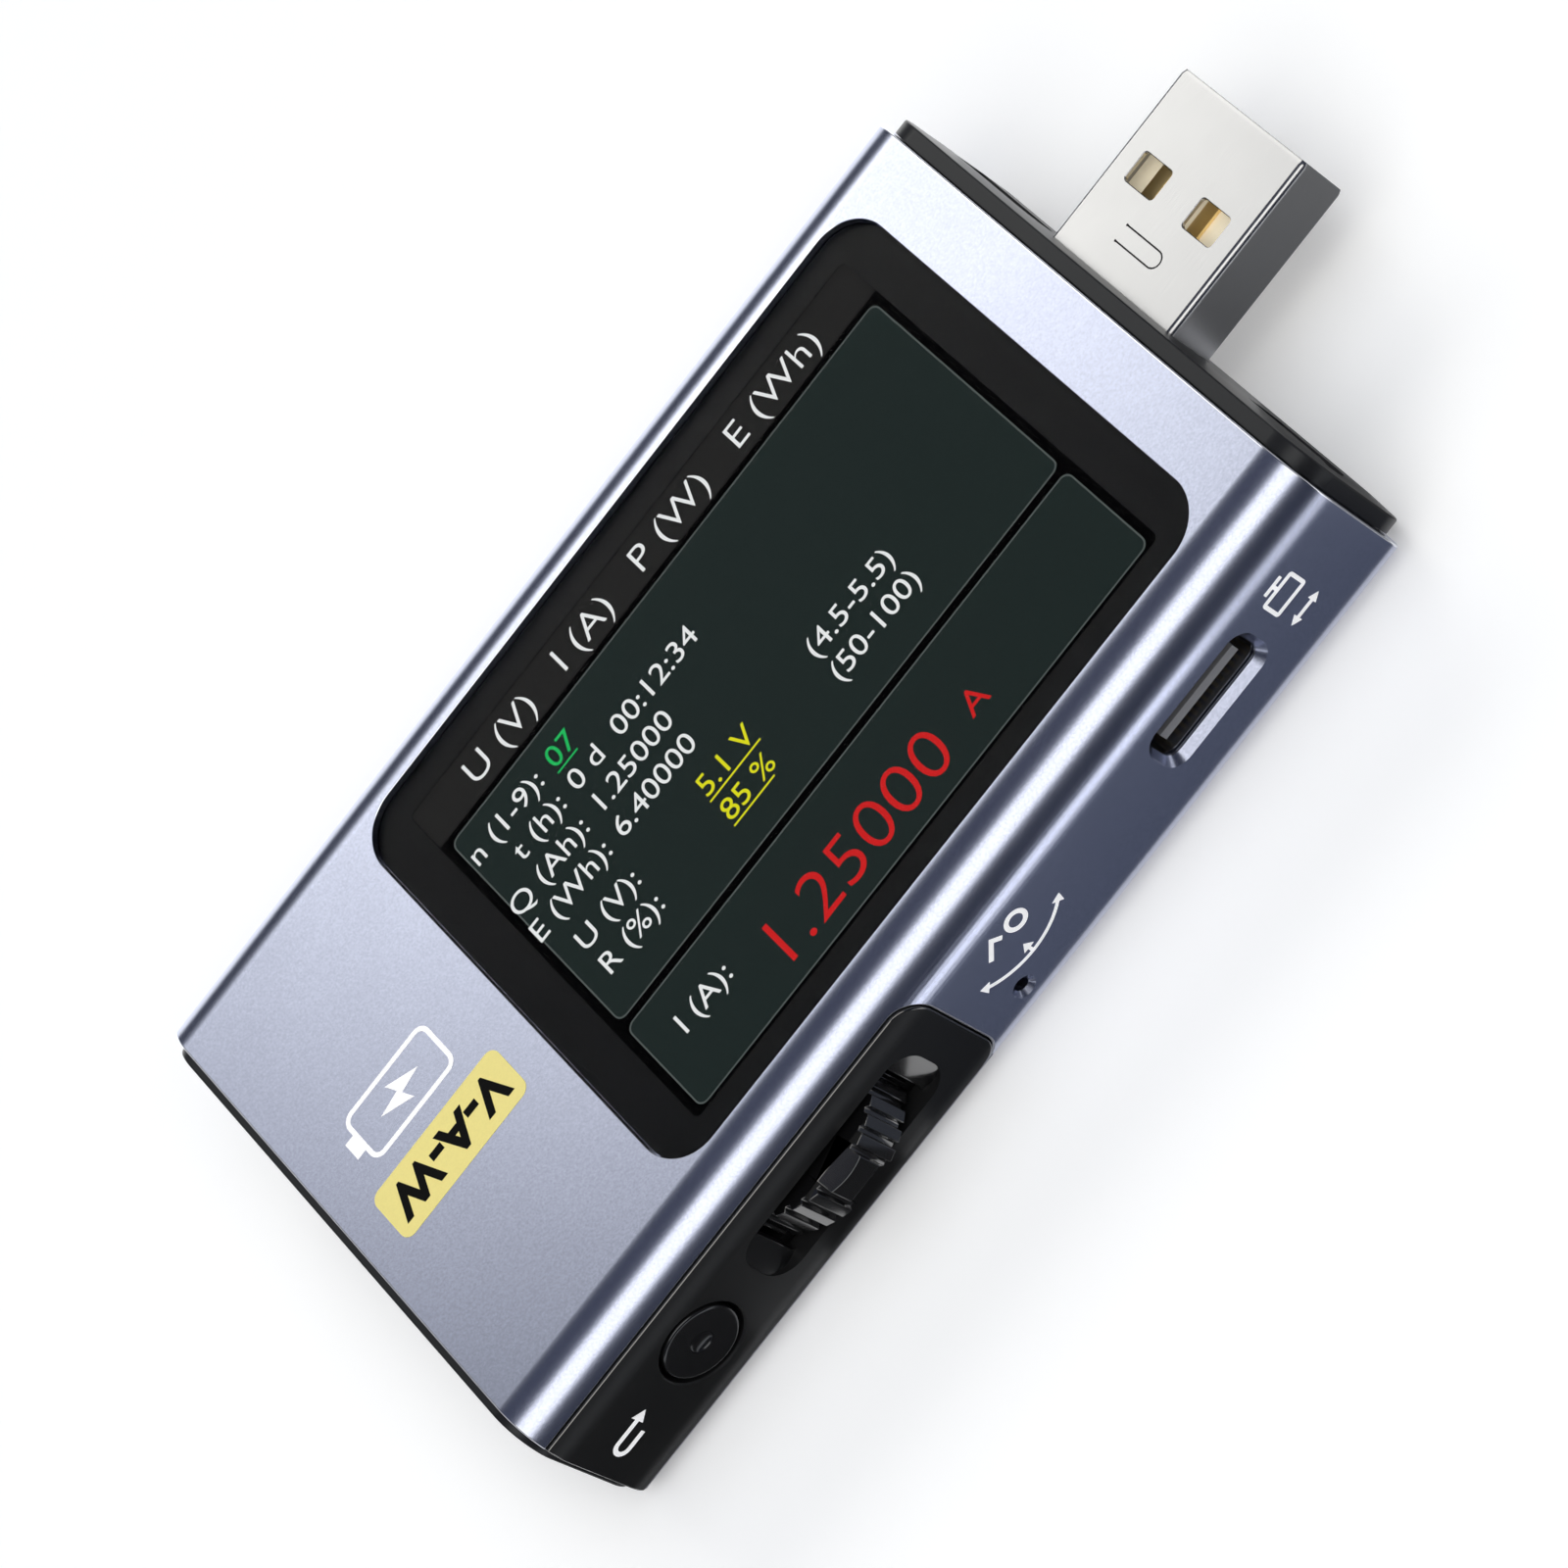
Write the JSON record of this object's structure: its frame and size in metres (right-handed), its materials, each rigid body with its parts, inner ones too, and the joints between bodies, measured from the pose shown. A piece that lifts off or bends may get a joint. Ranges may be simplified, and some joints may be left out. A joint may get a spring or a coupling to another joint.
{
  "type": "usb power meter",
  "caption": "Pocket USB power meter: rounded aluminium sleeve with flush display, side thumb wheel and button, USB-A plug at one end, sockets at the other and in the side.",
  "frame": {"origin": "centre of the sleeve's flat back face", "axes": "+X along the sleeve towards the USB-A plug, -Y towards the long side with the controls, +Z out of the display"},
  "size_m": [0.0859, 0.0454, 0.0135],
  "materials": {
    "sleeve_aluminium": "fine bead-blasted, lavender-silver anodised",
    "cover_glass": "polished, black printed behind",
    "adhesive_foam": "matt",
    "display_frame": "satin",
    "flex_film": "satin",
    "pale_plastic": "matt",
    "black_plastic": "fine moulded texture, satin",
    "wheel_plastic": "moulded, semi-gloss",
    "plated_steel": "bright nickel plate",
    "gold_contact": "gold flash",
    "core_plastic": "matt",
    "circuit_board": "solder mask",
    "chip_epoxy": "matt",
    "ferrite": "matt"
  },
  "bodies": {
    "case": {"case_tube": "sleeve_aluminium", "display_glass": "cover_glass", "glass_adhesive": "adhesive_foam", "display_module": "display_frame", "display_flex": "flex_film", "flex_connector": "pale_plastic", "input_end_cap": "black_plastic", "output_end_cap": "black_plastic", "control_panel": "black_plastic", "wheel_switch_housing": "pale_plastic", "back_switch_body": "chip_epoxy", "reset_switch_body": "chip_epoxy", "main_board": "circuit_board", "plug_shell": "plated_steel", "plug_core": "core_plastic", "plug_contact_1": "gold_contact", "plug_contact_2": "gold_contact", "plug_contact_3": "gold_contact", "plug_contact_4": "gold_contact", "output_socket_shell": "plated_steel", "output_socket_tongue": "pale_plastic", "output_contact_1": "gold_contact", "output_contact_2": "gold_contact", "output_contact_3": "gold_contact", "output_contact_4": "gold_contact", "side_port_shell": "plated_steel", "side_port_tongue": "chip_epoxy", "input_usb_c_shell": "plated_steel", "input_usb_c_tongue": "chip_epoxy", "output_usb_c_shell": "plated_steel", "output_usb_c_tongue": "chip_epoxy", "input_micro_usb_shell": "plated_steel", "input_micro_usb_tongue": "chip_epoxy", "processor_chip": "chip_epoxy", "memory_chip": "chip_epoxy", "crystal_can": "plated_steel", "power_inductor": "ferrite", "metering_chip": "chip_epoxy", "shunt_resistor": "chip_epoxy"},
    "wheel_carrier": {"wheel_carrier": "black_plastic", "wheel_pin": "plated_steel"},
    "nav_wheel": {"nav_wheel": "wheel_plastic"},
    "back_button": {"back_button": "black_plastic", "back_switch_plunger": "pale_plastic"},
    "reset_plunger": {"reset_switch_plunger": "pale_plastic"}
  },
  "joints": [
    {"name": "wheel_push", "type": "slide", "parent": "case", "child": "wheel_carrier", "axis": [0, 1, 0], "range_m": [0, 0.0005], "stiffness_N_per_m": 2000},
    {"name": "wheel_rock", "type": "hinge", "parent": "wheel_carrier", "child": "nav_wheel", "pos_m": [-0.01219, -0.0164, 0.007], "axis": [0, 0, 1], "range_deg": [-18, 18], "stiffness_Nm_per_rad": 0.02},
    {"name": "back_press", "type": "slide", "parent": "case", "child": "back_button", "axis": [0, 1, 0], "range_m": [0, 0.00035], "stiffness_N_per_m": 1500},
    {"name": "reset_press", "type": "slide", "parent": "case", "child": "reset_plunger", "axis": [0, 1, 0], "range_m": [0, 0.00025], "stiffness_N_per_m": 1000}
  ]
}
